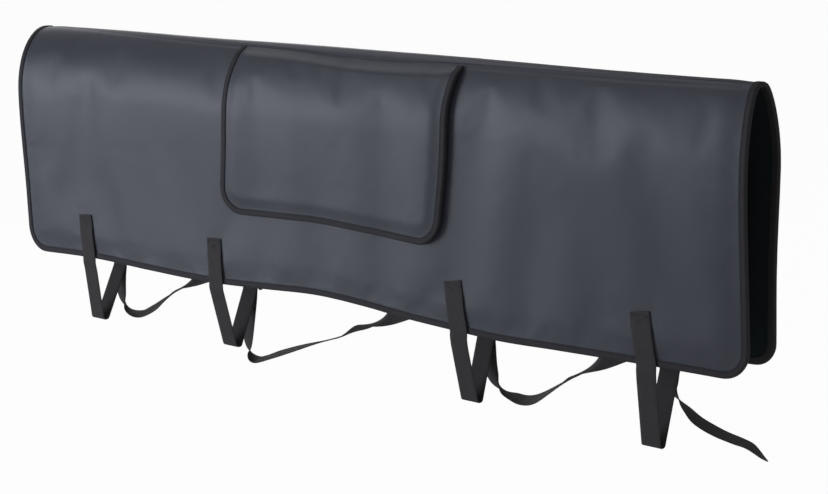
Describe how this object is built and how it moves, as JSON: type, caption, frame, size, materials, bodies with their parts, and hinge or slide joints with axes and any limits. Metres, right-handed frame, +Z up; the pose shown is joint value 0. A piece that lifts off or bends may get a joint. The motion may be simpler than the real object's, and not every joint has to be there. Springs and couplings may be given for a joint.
{
  "type": "tailgate bike pad",
  "caption": "Padded fabric cover folded over a pickup tailgate, with webbing straps looped under it, ladder buckles, and a flap over a window for the latch.",
  "frame": {"origin": "underside of the lining at the middle of the flat strip along the inner crown, which rests on the top edge of the tailgate", "axes": "+X along the tailgate, to the right as seen from behind the truck; -Y is the outer side that faces the road, +Y the bed side; +Z up"},
  "size_m": [1.372, 0.1077, 0.4932],
  "materials": {
    "coated_cloth": "PVC-coated woven cloth, satin, slightly bluish grey",
    "pad_foam": "closed-cell foam sheet, matt",
    "fleece": "brushed polyester, matt, nearly black",
    "binding_tape": "woven polyester binding tape",
    "webbing": "ribbed polypropylene webbing",
    "grip_tape": "hook and loop tape",
    "buckle_plastic": "moulded acetal, fine grain"
  },
  "bodies": {
    "root": {"outer_cover": "coated_cloth", "foam_core": "pad_foam", "lining": "fleece", "edge_binding": "binding_tape", "window_binding": "binding_tape", "flap_cover": "coated_cloth", "flap_foam": "pad_foam", "flap_lining": "fleece", "flap_binding": "binding_tape", "loop_strip_hem": "grip_tape", "loop_strip_left": "grip_tape", "loop_strip_right": "grip_tape", "hook_strip_hem": "grip_tape", "hook_strip_left": "grip_tape", "hook_strip_right": "grip_tape", "strap_1": "webbing", "strap_2": "webbing", "strap_3": "webbing", "strap_4": "webbing", "buckle_1": "buckle_plastic", "buckle_2": "buckle_plastic", "buckle_3": "buckle_plastic", "buckle_4": "buckle_plastic", "buckle_tab_1": "webbing", "buckle_tab_2": "webbing", "buckle_tab_3": "webbing", "buckle_tab_4": "webbing"}
  },
  "joints": []
}
